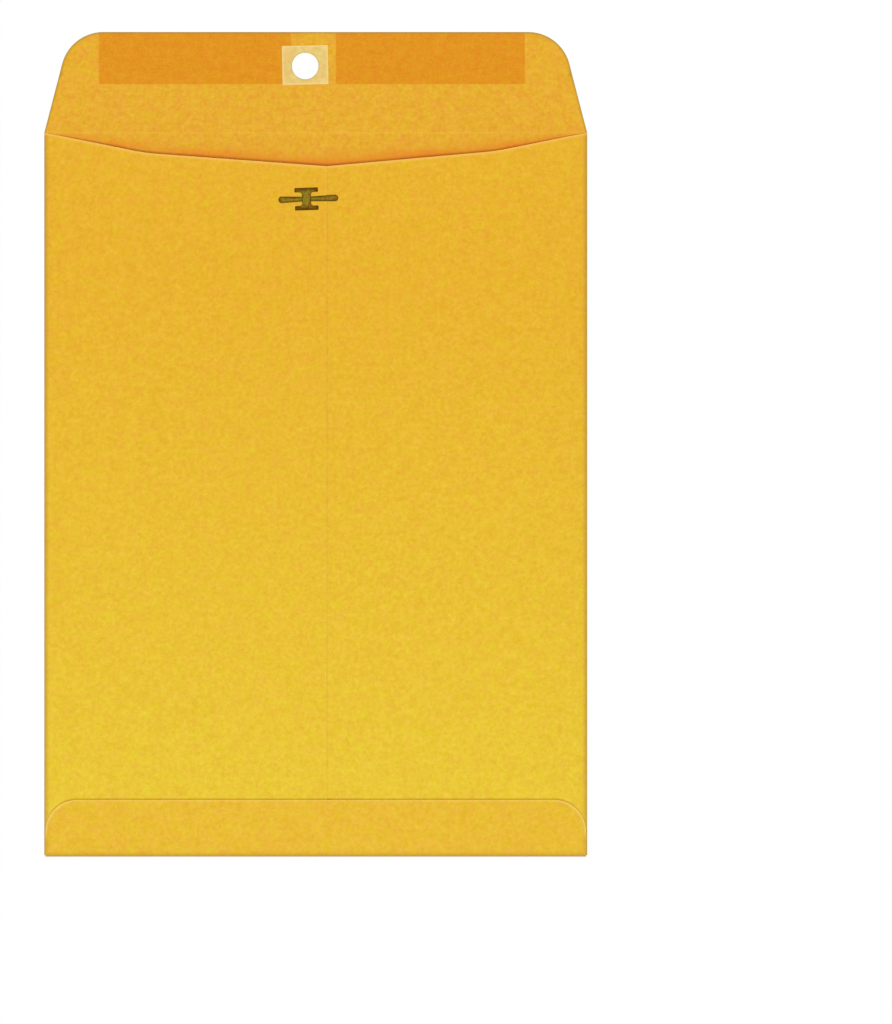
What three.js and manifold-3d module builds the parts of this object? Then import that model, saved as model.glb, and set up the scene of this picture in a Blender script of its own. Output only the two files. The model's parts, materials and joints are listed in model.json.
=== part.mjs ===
// A 9 x 12 in kraft clasp envelope, lying on its front face with the seal flap open.
// Millimetres. X runs across the envelope, +Y runs towards the seal flap, and Z = 0 is the table.
// The origin is the middle of the footprint, on the table. "Left" and "right" are seen from above.
//
// The paper is one folded sheet: front panel, two back panels that lap at a glued centre seam,
// a bottom flap glued over them, and the seal flap. The pocket stands slightly open, as new folds hold it.
import * as THREE from "three";
import { mergeVertices } from "three/addons/utils/BufferGeometryUtils.js";
import Module from "manifold-3d";

const INCH = 25.4;
const DEGREE = Math.PI / 180;

// Envelope and paper
const WIDTH = 9 * INCH;
const BODY_HEIGHT = 12 * INCH; // bottom fold to flap crease
const PAPER = 0.16; // kraft of about 105 g/m2
const POCKET_DEPTH = 4.8; // clear height inside, at the middle of the pocket
const FOLD_GAP = 0.3; // clear height inside, at the side and bottom folds
const GLUE_FILM = 0.09;
const PLY_CLEARANCE = 0.03; // between a ply and the film or metal next to it
const BUTT_CLEARANCE = 0.05; // between two panels that meet edge to edge at a fold

// How the back stands up from the folds
const SIDE_FULLNESS = 6; // higher is a flatter middle with steeper sides
const BOTTOM_RISE_LENGTH = 110; // from the bottom fold to the full depth

// Back panels: the left one laps over the right one, and the throat is their top edge
const SEAM_X = 4.6; // the left panel's free edge
const SEAM_LAP = 16.8;
const LAP_CLIMB = 46; // width over which the left panel climbs onto the right one
const LAP_RELEASE = 14; // width over which the bottom flap comes down again, past the seam
const THROAT_DEPTH = 14.3; // below the crease, at the seam
const KNEES = {
  left: { inset: 42.7, depth: 8.7 }, // from the side fold, and below the crease
  right: { inset: 38.4, depth: 7.9 },
};
const KNEE_ROUNDING = 5; // to each side of a knee, along the crease

// Bottom flap and the glue under it
const BOTTOM_FLAP_HEIGHT = 24;
const BOTTOM_FLAP_CORNER = 13.5;
const BOTTOM_FLAP_INSET = 0.5;
const BOTTOM_GLUE_MARGIN = 5; // from the flap's top edge, and from the fold
const BOTTOM_GLUE_INSET = 18.5; // from the flap's sides

// Centre seam glue
const SEAM_GLUE_MARGIN = 3.4; // from both edges of the lap
const SEAM_GLUE_END = 12; // below the middle of the clasp

// Seal flap, its gum and its hole
const FLAP_DEPTH = 42.4;
const FLAP_SIDE_ANGLE = 14.5 * DEGREE; // from square to the crease
const FLAP_CORNER = 18;
const GUM_HEIGHT = 21.6;
const GUM_THICKNESS = 0.05;
const GUM_EDGE = 0.3; // short of the flap's top edge
const GUM_CORNER = 0.4;
const GUM_REACH = { left: 1.9, right: -1.4 }; // past the place where the flap's top edge starts to curve
const GUM_GAP = { left: 6.7, right: 12.3 }; // from the middle of the lap
const HOLE_FROM_EDGE = 14.3; // flap's top edge to the middle of the hole
const HOLE_OFFSET = 0.65; // left of the middle of the lap, where the clasp is
const HOLE_DIAMETER = 11.2;
const PATCH = { width: 19.3, height: 16.4, thickness: 0.1 };
const PATCH_OFFSET = 0.4; // from the middle of the hole to the patch's, away from the crease
const PATCH_TURN = 1.1 * DEGREE; // it is glued on slightly askew

// Clasp: an I-shaped base whose four teeth are clinched inside, and two prongs that bend up
const CLASP_TURN = 2 * DEGREE; // it is stamped on slightly askew
const METAL = 0.3;
const CLASP_HEIGHT = 9.4;
const BAR = { length: 9.6, height: 1.8 };
const WEB_WIDTH = 3.7;
const WEB_FILLET = 1.1;
const TOOTH = { width: 1.3, length: 2.8, point: 0.1 };
const PRONG_REACH = { left: 11.8, right: 13.3 }; // clasp's middle to the prong's tip
const PRONG_ROOT_WIDTH = 2;
const PRONG_TIP_WIDTH = 2.7;
const RIB = { width: 0.8, height: 0.12, inset: 1.6 };
const SLIT_CLEARANCE = 0.15;
const HINGE_CLEARANCE = 0.05; // between the base's web and a prong's rolled root

// Facets
const ARC_STEPS = 6;
const CORNER_STEPS = 6;
const PLATE_ARC_STEPS = 16;
const FINEST_FACET = 0.2;

const COLOURS = {
  kraft: 0xe9b433,
  kraftFlap: 0xe9af35,
  gum: 0xe39524,
  patch: 0xeac976,
  glue: 0xd8c79a,
  brass: 0x866e1e,
};

// Places worked out from the sizes
const halfWidth = WIDTH / 2;
const bottomY = -(BODY_HEIGHT + FLAP_DEPTH) / 2;
const creaseY = bottomY + BODY_HEIGHT;
const flapTopY = creaseY + FLAP_DEPTH;
const filmSpace = GLUE_FILM + 2 * PLY_CLEARANCE;
const plyStep = PAPER + filmSpace; // from one back ply to the next
const sideFoldRadius = PAPER + FOLD_GAP / 2;
const plateHalfWidth = halfWidth - sideFoldRadius;
const bottomFoldReach = (2 * PAPER + FOLD_GAP + 2 * plyStep) / 2; // half as deep as the folded stack is high
const frontBottomY = bottomY + bottomFoldReach;
const panelBottomY = frontBottomY + BUTT_CLEARANCE;
const throatRowY = creaseY - 2 * THROAT_DEPTH; // the last straight row of facets below the throat
const hiddenSeamX = SEAM_X - SEAM_LAP;
const lapStartX = hiddenSeamX - LAP_CLIMB;
const lapEndX = SEAM_X + LAP_RELEASE;
const bottomFlapHalf = halfWidth - BOTTOM_FLAP_INSET;
const bottomFlapTopY = bottomY + BOTTOM_FLAP_HEIGHT;
const bottomFlapShoulderY = bottomFlapTopY - BOTTOM_FLAP_CORNER;
const bottomGlueHalf = bottomFlapHalf - BOTTOM_GLUE_INSET;
const bottomGlueY = [panelBottomY + BOTTOM_GLUE_MARGIN, bottomFlapTopY - BOTTOM_GLUE_MARGIN];
const lapMiddleX = SEAM_X - SEAM_LAP / 2; // the clasp is stamped on here
const holeX = lapMiddleX - HOLE_OFFSET;
const fastenerReach = FLAP_DEPTH - HOLE_FROM_EDGE; // crease to hole, and crease to clasp
const claspY = creaseY - fastenerReach;
const holeY = creaseY + fastenerReach;
const seamGlueX = [hiddenSeamX + SEAM_GLUE_MARGIN, SEAM_X - SEAM_GLUE_MARGIN];
const seamGlueY = [bottomFlapShoulderY, claspY - SEAM_GLUE_END];

const clamp01 = (t) => Math.min(1, Math.max(0, t));

// How far the back has risen off the folds, 0 to 1, across and along the envelope.
const riseAcross = (x) => 1 - clamp01(Math.abs(x) / plateHalfWidth) ** SIDE_FULLNESS;
const riseAlong = (y) => 1 - (1 - clamp01((y - frontBottomY) / BOTTOM_RISE_LENGTH)) ** 3;

// Underside of the inner back ply.
function innerPlyZ(x, y) {
  return PAPER + FOLD_GAP + (POCKET_DEPTH - FOLD_GAP) * riseAcross(x) * riseAlong(y);
}

// 0 where only one back ply lies, 1 where the left panel lies on the right one.
function lap(x) {
  return Math.min(clamp01((x - lapStartX) / LAP_CLIMB), clamp01((lapEndX - x) / LAP_RELEASE));
}

// Top of the uppermost back ply.
const backTopZ = (x, y) => innerPlyZ(x, y) + PAPER + plyStep * lap(x);

// The throat falls from the crease's end to a rounded knee, and on towards the seam. side is -1 or 1.
function throatY(side, x) {
  const knee = side < 0 ? KNEES.left : KNEES.right;
  const fromFold = Math.max(0, halfWidth - side * x);
  const steep = knee.depth / knee.inset;
  const gentle = (THROAT_DEPTH - knee.depth) / (halfWidth - knee.inset - side * SEAM_X);
  const pastKnee = fromFold - knee.inset;
  const turning = Math.min(2 * KNEE_ROUNDING, Math.max(0, pastKnee + KNEE_ROUNDING));
  const turned = turning ** 2 / (4 * KNEE_ROUNDING) + Math.max(0, pastKnee - KNEE_ROUNDING);
  return creaseY - steep * fromFold + (steep - gentle) * turned;
}

// Top edge of the bottom flap, with its two rounded corners.
function bottomFlapEdgeY(x) {
  const past = Math.max(0, Math.abs(x) - (bottomFlapHalf - BOTTOM_FLAP_CORNER));
  return bottomFlapShoulderY + Math.sqrt(Math.max(0, BOTTOM_FLAP_CORNER ** 2 - past ** 2));
}

// Columns and rows that all curved sheets share, so that stacked facets stay parallel.
function distinct(values) {
  const rising = [...values].sort((a, b) => a - b);
  return rising.filter((value, i) => i === 0 || value - rising[i - 1] > FINEST_FACET);
}
const cornerColumns = Array.from({ length: CORNER_STEPS }, (_, i) => {
  const angle = (i / CORNER_STEPS) * (Math.PI / 2);
  return bottomFlapHalf - BOTTOM_FLAP_CORNER * (1 - Math.sin(angle));
});
const archColumns = [0.35, 0.5, 0.62, 0.72, 0.8].map((share) => share * plateHalfWidth);
const mirroredColumns = [...cornerColumns, ...archColumns, bottomGlueHalf];
const kneeColumns = [KNEES.left.inset - halfWidth, halfWidth - KNEES.right.inset].flatMap((x) => {
  return [-1, -0.5, 0, 0.5, 1].map((share) => x + share * KNEE_ROUNDING);
});
const COLUMNS = distinct([
  ...mirroredColumns,
  ...mirroredColumns.map((x) => -x),
  hiddenSeamX,
  SEAM_X,
  lapStartX,
  lapEndX,
  ...kneeColumns,
]);
const cornerShares = [1 / 3, 2 / 3, 1];
const flapRows = [0, ...cornerShares].map((share) => bottomFlapShoulderY + share * BOTTOM_FLAP_CORNER);
const riseRows = [0.3, 0.42, 0.56, 0.75, 1].map((share) => frontBottomY + share * BOTTOM_RISE_LENGTH);
const ROWS = distinct([...flapRows, ...riseRows, ...bottomGlueY]);

// The two ends, and what of the shared list lies clearly between them.
function between(list, from, to) {
  return [from, ...list.filter((value) => value > from + FINEST_FACET && value < to - FINEST_FACET), to];
}

// A closed thin solid between two grids of points, grid[row][column], with the outer one on top.
function shellGeometry(inner, outer) {
  const rows = inner.length;
  const columns = inner[0].length;
  const lastRow = rows - 1;
  const lastColumn = columns - 1;
  const innerAt = (r, c) => r * columns + c;
  const outerAt = (r, c) => (rows + r) * columns + c;
  const index = [];
  const quad = (a, b, c, d) => index.push(a, b, c, a, c, d);
  for (let r = 0; r < lastRow; r++) {
    for (let c = 0; c < lastColumn; c++) {
      quad(outerAt(r, c), outerAt(r, c + 1), outerAt(r + 1, c + 1), outerAt(r + 1, c));
      quad(innerAt(r, c), innerAt(r + 1, c), innerAt(r + 1, c + 1), innerAt(r, c + 1));
    }
  }
  for (let c = 0; c < lastColumn; c++) {
    quad(innerAt(0, c), innerAt(0, c + 1), outerAt(0, c + 1), outerAt(0, c));
    quad(innerAt(lastRow, c + 1), innerAt(lastRow, c), outerAt(lastRow, c), outerAt(lastRow, c + 1));
  }
  for (let r = 0; r < lastRow; r++) {
    const next = r + 1;
    quad(innerAt(next, 0), innerAt(r, 0), outerAt(r, 0), outerAt(next, 0));
    const right = [innerAt(r, lastColumn), innerAt(next, lastColumn)];
    quad(...right, outerAt(next, lastColumn), outerAt(r, lastColumn));
  }
  const geometry = new THREE.BufferGeometry();
  const points = [...inner.flat(2), ...outer.flat(2)];
  geometry.setAttribute("position", new THREE.Float32BufferAttribute(points, 3));
  geometry.setIndex(index);
  return geometry;
}

// A film that follows the back between two columns and two rows.
function filmGeometry([x0, x1], [y0, y1], underZ, thickness) {
  const columns = between(COLUMNS, x0, x1);
  const rows = between(ROWS, y0, y1);
  const grid = (lift) => rows.map((y) => columns.map((x) => [x, y, underZ(x, y) + lift]));
  return shellGeometry(grid(0), grid(thickness));
}

const foldAngles = Array.from({ length: ARC_STEPS }, (_, i) => (i / ARC_STEPS - 0.5) * Math.PI);

// A back panel with its side fold. side is -1 for the left panel and 1 for the right one.
function backPanelGeometry(side, freeEdgeX, underZ) {
  const straightRows = between(ROWS, panelBottomY, throatRowY).map((y) => () => y);
  const rowCurves = [...straightRows, (x) => throatY(side, x)];
  const foldX = side * plateHalfWidth;
  const columns = side < 0 ? between(COLUMNS, foldX, freeEdgeX) : between(COLUMNS, freeEdgeX, foldX);
  const grid = (radius, lift) =>
    rowCurves.map((rowY) => {
      const fold = foldAngles.map((angle) => {
        const x = foldX + side * radius * Math.cos(angle);
        return [x, rowY(x), sideFoldRadius + radius * Math.sin(angle)];
      });
      const ply = columns.map((x) => [x, rowY(x), underZ(x, rowY(x)) + lift]);
      return side < 0 ? [...fold, ...ply] : [...ply, ...fold.reverse()];
    });
  return shellGeometry(grid(FOLD_GAP / 2, 0), grid(sideFoldRadius, PAPER));
}

// The bottom flap with the bottom fold, which wraps round the ends of the back panels.
function bottomFlapGeometry() {
  const columns = between(COLUMNS, -bottomFlapHalf, bottomFlapHalf);
  const straightRows = between(ROWS, frontBottomY, bottomFlapShoulderY).map((y) => () => y);
  const cornerRows = cornerShares.map(
    (share) => (x) => bottomFlapShoulderY + share * (bottomFlapEdgeY(x) - bottomFlapShoulderY),
  );
  const underZ = (x, y) => backTopZ(x, y) + filmSpace;
  const grid = (lift) => {
    const inset = PAPER - lift; // from the fold's outer face
    const fold = foldAngles.map((angle) =>
      columns.map((x) => {
        const middleZ = (underZ(x, frontBottomY) + PAPER) / 2;
        const y = frontBottomY - (bottomFoldReach - inset) * Math.cos(angle);
        return [x, y, middleZ + (middleZ - inset) * Math.sin(angle)];
      }),
    );
    const ply = [...straightRows, ...cornerRows].map((rowY) =>
      columns.map((x) => [x, rowY(x), underZ(x, rowY(x)) + lift]),
    );
    return [...fold, ...ply];
  };
  return shellGeometry(grid(0), grid(PAPER));
}

// A flat plate with its underside on z.
function plateGeometry(shape, z, thickness, curveSegments = CORNER_STEPS) {
  const geometry = new THREE.ExtrudeGeometry(shape, { depth: thickness, bevelEnabled: false, curveSegments });
  return geometry.translate(0, 0, z);
}

function rectangle(x0, y0, x1, y1) {
  return new THREE.Shape([
    new THREE.Vector2(x0, y0),
    new THREE.Vector2(x1, y0),
    new THREE.Vector2(x1, y1),
    new THREE.Vector2(x0, y1),
  ]);
}

function roundedRectangle(x0, y0, x1, y1, radius) {
  const shape = new THREE.Shape();
  shape.absarc(x1 - radius, y0 + radius, radius, -Math.PI / 2, 0);
  shape.absarc(x1 - radius, y1 - radius, radius, 0, Math.PI / 2);
  shape.absarc(x0 + radius, y1 - radius, radius, Math.PI / 2, Math.PI);
  shape.absarc(x0 + radius, y0 + radius, radius, Math.PI, 1.5 * Math.PI);
  return shape;
}

function holePath() {
  return new THREE.Path().absarc(holeX, holeY, HOLE_DIAMETER / 2, 0, 2 * Math.PI, true);
}

// Middle of the seal flap's right corner arc.
const flapRootY = creaseY + BUTT_CLEARANCE;
const flapCornerY = flapTopY - FLAP_CORNER;
const flapSlant = FLAP_CORNER + (flapCornerY - flapRootY) * Math.sin(FLAP_SIDE_ANGLE);
const flapCornerX = halfWidth - flapSlant / Math.cos(FLAP_SIDE_ANGLE);

function sealFlapShape() {
  const shape = new THREE.Shape();
  shape.moveTo(-halfWidth, flapRootY);
  shape.lineTo(halfWidth, flapRootY);
  shape.absarc(flapCornerX, flapCornerY, FLAP_CORNER, FLAP_SIDE_ANGLE, Math.PI / 2);
  shape.absarc(-flapCornerX, flapCornerY, FLAP_CORNER, Math.PI / 2, Math.PI - FLAP_SIDE_ANGLE);
  shape.closePath();
  shape.holes.push(holePath());
  return shape;
}

function gumShape(x0, x1) {
  const topY = flapTopY - GUM_EDGE;
  return roundedRectangle(x0, topY - GUM_HEIGHT, x1, topY, GUM_CORNER);
}

function patchShape() {
  const middle = new THREE.Vector2(holeX, holeY + PATCH_OFFSET);
  const reach = new THREE.Vector2(PATCH.width / 2, PATCH.height / 2);
  const square = rectangle(middle.x - reach.x, middle.y - reach.y, middle.x + reach.x, middle.y + reach.y);
  const corners = square.getPoints().map((corner) => corner.rotateAround(middle, PATCH_TURN));
  const shape = new THREE.Shape(corners);
  shape.holes.push(holePath());
  return shape;
}

// The clasp's own frame: its middle is the origin, X runs along the prongs, and the metal stands on Z = 0.
const prongHingeX = WEB_WIDTH / 2 + HINGE_CLEARANCE + METAL / 2;
const barY = (CLASP_HEIGHT - BAR.height) / 2;

function claspBaseShape() {
  const web = WEB_WIDTH / 2;
  const bar = BAR.length / 2;
  const top = CLASP_HEIGHT / 2;
  const neck = top - BAR.height;
  const shape = new THREE.Shape();
  shape.moveTo(-bar, -top);
  shape.lineTo(bar, -top);
  shape.lineTo(bar, -neck);
  shape.absarc(web + WEB_FILLET, -neck + WEB_FILLET, WEB_FILLET, -Math.PI / 2, -Math.PI, true);
  shape.absarc(web + WEB_FILLET, neck - WEB_FILLET, WEB_FILLET, Math.PI, Math.PI / 2, true);
  shape.lineTo(bar, neck);
  shape.lineTo(bar, top);
  shape.lineTo(-bar, top);
  shape.lineTo(-bar, neck);
  shape.absarc(-web - WEB_FILLET, neck - WEB_FILLET, WEB_FILLET, Math.PI / 2, 0, true);
  shape.absarc(-web - WEB_FILLET, -neck + WEB_FILLET, WEB_FILLET, 0, -Math.PI / 2, true);
  shape.lineTo(-bar, -neck);
  shape.closePath();
  return shape;
}

// The four places where a leg goes down: side is -1 or 1 across the clasp, and y is along it.
const legs = [-1, 1].flatMap((side) => [-1, 1].map((end) => ({ side, y: end * barY })));

// A leg through both plies, with its tooth clinched inwards and narrowing to a thin point.
function toothGeometry({ side, y }) {
  const outer = BAR.length / 2;
  const insideZ = -(PLY_CLEARANCE + PAPER + plyStep + PLY_CLEARANCE);
  const profile = new THREE.Shape([
    new THREE.Vector2(outer, METAL / 2),
    new THREE.Vector2(outer - METAL, METAL / 2),
    new THREE.Vector2(outer - METAL, insideZ),
    new THREE.Vector2(outer - TOOTH.length, insideZ),
    new THREE.Vector2(outer - TOOTH.length, insideZ - TOOTH.point),
    new THREE.Vector2(outer - METAL, insideZ - METAL),
    new THREE.Vector2(outer, insideZ - METAL),
  ]);
  const geometry = new THREE.ExtrudeGeometry(profile, { depth: TOOTH.width, bevelEnabled: false });
  geometry.rotateX(Math.PI / 2).translate(0, TOOTH.width / 2, 0);
  if (side < 0) geometry.rotateZ(Math.PI);
  return geometry.translate(0, y, 0);
}

// What a leg needs cut out of the paper, tall enough for every ply.
function slitGeometry({ side, y }) {
  const width = METAL + 2 * SLIT_CLEARANCE;
  const height = TOOTH.width + 2 * SLIT_CLEARANCE;
  const slit = new THREE.BoxGeometry(width, height, POCKET_DEPTH);
  return slit.translate(side * (BAR.length / 2 - METAL / 2), y, 0);
}

// A prong that points along +X from its hinge axis, which is Y at half the metal's height.
function prongShape(length) {
  const tip = PRONG_TIP_WIDTH / 2;
  const shape = new THREE.Shape();
  shape.moveTo(0, -PRONG_ROOT_WIDTH / 2);
  shape.absarc(length - tip, 0, tip, -Math.PI / 2, Math.PI / 2);
  shape.lineTo(0, PRONG_ROOT_WIDTH / 2);
  shape.closePath();
  return shape;
}

function prongGeometry(length) {
  const rib = roundedRectangle(RIB.inset, -RIB.width / 2, length - RIB.inset, RIB.width / 2, RIB.width / 2);
  const rolledRoot = new THREE.CylinderGeometry(METAL / 2, METAL / 2, PRONG_ROOT_WIDTH, 2 * ARC_STEPS);
  return joined([
    plateGeometry(prongShape(length), -METAL / 2, METAL),
    plateGeometry(rib, 0, METAL / 2 + RIB.height),
    rolledRoot,
  ]);
}

const wasm = await Module();
wasm.setup();

function toSolid(geometry) {
  const bare = geometry.clone();
  bare.deleteAttribute("normal");
  bare.deleteAttribute("uv");
  const merged = mergeVertices(bare);
  const vertProperties = new Float32Array(merged.getAttribute("position").array);
  const triVerts = new Uint32Array(merged.index.array);
  return new wasm.Manifold(new wasm.Mesh({ numProp: 3, vertProperties, triVerts }));
}

function toGeometry(solid) {
  const mesh = solid.getMesh();
  const geometry = new THREE.BufferGeometry();
  geometry.setAttribute("position", new THREE.BufferAttribute(mesh.vertProperties, 3));
  geometry.setIndex(new THREE.BufferAttribute(mesh.triVerts, 1));
  return geometry;
}

function joined(geometries) {
  return toGeometry(geometries.map(toSolid).reduce((all, next) => all.add(next)));
}

const claspZ = backTopZ(lapMiddleX, claspY) + PLY_CLEARANCE; // underside of the clasp's metal

// A back panel with the four slits for the clasp's legs.
function slitPanel(geometry) {
  const slits = legs.map((leg) => {
    const slit = slitGeometry(leg).rotateZ(CLASP_TURN);
    return toSolid(slit.translate(lapMiddleX, claspY, claspZ));
  });
  return toGeometry(slits.reduce((panel, slit) => panel.subtract(slit), toSolid(geometry)));
}

function finish(color, roughness, metalness = 0) {
  return new THREE.MeshStandardMaterial({ color, roughness, metalness });
}

function part(name, geometry, material) {
  const mesh = new THREE.Mesh(geometry, material);
  mesh.name = name;
  return mesh;
}

function buildPocket() {
  const kraft = finish(COLOURS.kraft, 0.85);
  const glue = finish(COLOURS.glue, 0.5);
  const front = rectangle(
    -plateHalfWidth + BUTT_CLEARANCE,
    frontBottomY + BUTT_CLEARANCE,
    plateHalfWidth - BUTT_CLEARANCE,
    creaseY,
  );
  const rightPanel = backPanelGeometry(1, hiddenSeamX, innerPlyZ);
  const leftPanel = backPanelGeometry(-1, SEAM_X, (x, y) => backTopZ(x, y) - PAPER);
  const seamGlueZ = (x, y) => innerPlyZ(x, y) + PAPER + PLY_CLEARANCE;
  const seamGlue = filmGeometry(seamGlueX, seamGlueY, seamGlueZ, GLUE_FILM);
  const bottomGlueX = [-bottomGlueHalf, bottomGlueHalf];
  const bottomGlueZ = (x, y) => backTopZ(x, y) + PLY_CLEARANCE;
  const bottomGlue = filmGeometry(bottomGlueX, bottomGlueY, bottomGlueZ, GLUE_FILM);

  const pocket = new THREE.Group();
  pocket.add(part("front_panel", plateGeometry(front, 0, PAPER), kraft));
  pocket.add(part("right_back_panel", slitPanel(rightPanel), kraft));
  pocket.add(part("left_back_panel", slitPanel(leftPanel), kraft));
  pocket.add(part("center_seam_glue", seamGlue, glue));
  pocket.add(part("bottom_flap_glue", bottomGlue, glue));
  pocket.add(part("bottom_flap", bottomFlapGeometry(), kraft));
  return pocket;
}

function buildClasp() {
  const brass = finish(COLOURS.brass, 0.4, 1);
  const plate = plateGeometry(claspBaseShape(), 0, METAL);

  const clasp = new THREE.Group();
  clasp.position.set(lapMiddleX, claspY, claspZ);
  clasp.rotation.z = CLASP_TURN;
  clasp.add(part("clasp_base", joined([plate, ...legs.map(toothGeometry)]), brass));

  const leftProng = part("left_prong", prongGeometry(PRONG_REACH.left - prongHingeX), brass);
  leftProng.position.set(-prongHingeX, 0, METAL / 2);
  leftProng.rotation.z = Math.PI;
  const rightProng = part("right_prong", prongGeometry(PRONG_REACH.right - prongHingeX), brass);
  rightProng.position.set(prongHingeX, 0, METAL / 2);
  clasp.add(leftProng, rightProng);
  return clasp;
}

// The flap turns over about an axis at the crease. The axis lies half as high as the closed flap,
// which then lies flat with its patch a paper's thickness above the prongs.
function buildSealFlap() {
  const kraft = finish(COLOURS.kraftFlap, 0.85);
  const gum = finish(COLOURS.gum, 0.45);
  const patch = finish(COLOURS.patch, 0.6);
  const gumZ = PAPER + PLY_CLEARANCE;
  const patchZ = gumZ + GUM_THICKNESS + PLY_CLEARANCE;
  const prongTopZ = claspZ + METAL + RIB.height;
  const axisZ = (prongTopZ + PAPER + patchZ + PATCH.thickness) / 2;
  const leftGum = gumShape(-flapCornerX - GUM_REACH.left, lapMiddleX - GUM_GAP.left);
  const rightGum = gumShape(lapMiddleX + GUM_GAP.right, flapCornerX + GUM_REACH.right);
  const plates = [
    part("seal_flap", plateGeometry(sealFlapShape(), 0, PAPER, PLATE_ARC_STEPS), kraft),
    part("gum_strip_left", plateGeometry(leftGum, gumZ, GUM_THICKNESS), gum),
    part("gum_strip_right", plateGeometry(rightGum, gumZ, GUM_THICKNESS), gum),
    part("hole_patch", plateGeometry(patchShape(), patchZ, PATCH.thickness, PLATE_ARC_STEPS), patch),
  ];

  const flap = new THREE.Group();
  flap.position.set(0, creaseY, axisZ);
  for (const plate of plates) {
    plate.position.set(0, -creaseY, -axisZ);
    flap.add(plate);
  }
  return flap;
}

const envelope = new THREE.Group();
envelope.add(buildPocket(), buildClasp(), buildSealFlap());
export default envelope;
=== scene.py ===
"""A 9 x 12 in kraft clasp envelope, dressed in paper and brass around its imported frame.

Sizes here are in millimetres. The frame is in metres, so meshes are scaled by MM when they are made.
X runs across the envelope, +Y towards the open seal flap, and Z = 0 is the table.
"""
import json
import math

import bpy
import numpy as np
from mathutils import Matrix, Vector


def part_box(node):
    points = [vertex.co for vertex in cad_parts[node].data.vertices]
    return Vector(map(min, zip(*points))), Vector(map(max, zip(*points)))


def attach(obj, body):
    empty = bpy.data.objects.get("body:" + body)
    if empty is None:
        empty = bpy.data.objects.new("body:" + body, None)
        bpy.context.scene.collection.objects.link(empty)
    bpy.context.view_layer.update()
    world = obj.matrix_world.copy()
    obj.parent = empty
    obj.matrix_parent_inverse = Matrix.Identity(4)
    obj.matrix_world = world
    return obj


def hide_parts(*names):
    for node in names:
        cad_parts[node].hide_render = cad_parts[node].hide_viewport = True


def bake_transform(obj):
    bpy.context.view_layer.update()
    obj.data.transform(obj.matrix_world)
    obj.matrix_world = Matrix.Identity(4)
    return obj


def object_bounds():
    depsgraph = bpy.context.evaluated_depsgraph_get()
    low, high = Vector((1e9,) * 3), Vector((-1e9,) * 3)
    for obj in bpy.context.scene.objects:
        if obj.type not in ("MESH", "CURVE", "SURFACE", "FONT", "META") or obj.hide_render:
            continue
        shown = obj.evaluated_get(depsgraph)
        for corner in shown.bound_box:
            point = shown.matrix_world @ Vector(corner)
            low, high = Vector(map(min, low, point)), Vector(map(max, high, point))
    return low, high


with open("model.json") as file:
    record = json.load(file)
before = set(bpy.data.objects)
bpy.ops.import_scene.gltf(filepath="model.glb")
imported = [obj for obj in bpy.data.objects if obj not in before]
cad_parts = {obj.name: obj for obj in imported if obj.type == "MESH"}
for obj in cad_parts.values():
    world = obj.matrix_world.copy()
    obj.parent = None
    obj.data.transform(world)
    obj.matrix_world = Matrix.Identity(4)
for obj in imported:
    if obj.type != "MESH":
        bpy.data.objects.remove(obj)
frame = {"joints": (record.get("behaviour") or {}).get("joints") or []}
cad_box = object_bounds()

MM = 0.001

# Paper
SIDE_FULLNESS = 6  # higher is a flatter middle with steeper sides
BOTTOM_RISE_LENGTH = 110  # from the bottom fold to the full depth
FOLD_GAP = 0.3  # clear height inside, at the folds
LAP_CLIMB = 46  # width over which the left panel climbs onto the right one
LAP_RELEASE = 14  # width over which the bottom flap comes down again, past the seam
BUTT_CLEARANCE = 0.05  # between two panels that meet edge to edge at a fold
BOTTOM_FLAP_HEIGHT = 24
BOTTOM_FLAP_CORNER = 13.5
THROAT_DEPTH = 14.3  # below the crease, at the seam
KNEES = {-1: (42.7, 8.7), 1: (38.4, 7.9)}  # left and right: from the side fold, and below the crease
KNEE_ROUNDING = 5  # to each side of a knee
FLAP_SIDE_ANGLE = math.radians(14.5)  # from square to the crease
FLAP_CORNER = 18
HOLE_DIAMETER = 11.2
GUM_CORNER = 0.4
PATCH_WIDTH = 19.3
PATCH_HEIGHT = 16.4
PATCH_OFFSET = 0.4  # from the middle of the hole to the patch's, away from the crease
PATCH_TURN = math.radians(1.1)
GLUE_THICKNESS = 0.09

# Undulation of the back: the sum of a crossed and a slanted wave
SWAY = 0.12  # height of the crossed wave
SLANTED_SHARE = 0.6
CROSSED_WAVE = (27, 41)  # mm in which its phase gains a radian, across and along
SLANTED_WAVE = (49, 63)
CROSSED_PHASE = (0.6, -0.4)
SLANTED_PHASE = 1.9
SWAY_START = 14  # it starts this far from the clasp, which holds the paper flat
SWAY_FADE = 30

# Clasp
METAL = 0.3
CLASP_HEIGHT = 9.4
BAR_LENGTH = 9.6
BAR_HEIGHT = 1.8
WEB_WIDTH = 3.7
WEB_FILLET = 1.1
PLATE_ROUNDING = 0.05
TOOTH_WIDTH = 1.3
TOOTH_LENGTH = 2.8
TOOTH_POINT = 0.1
TOOTH_TAPER = 0.55  # how much narrower the tooth is at its point, as a share
TOOTH_BEND = 0.2  # radius on which it is clinched
SLIT_CLEARANCE = 0.15
PRONG_REACH = {"left": 11.8, "right": 13.3}  # clasp's middle to the prong's tip
PRONG_ROOT_WIDTH = 2.0
PRONG_TIP_WIDTH = 2.7
BEAD_START = 2.0  # from the prong's hinge
BEAD_END = 1.9  # short of its tip
BEAD_HALF_WIDTH = 0.66
BEAD_FLANK = 0.42
BEAD_HEIGHT = 0.12
RIM_ROUNDING = 0.14  # width of the softly rounded rim of a prong
RIM_DROP = 0.07  # on its upper face
RIM_RISE = 0.05  # on its lower face
RIM_START = 0.3  # from the hinge, where the rolled root ends

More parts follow.
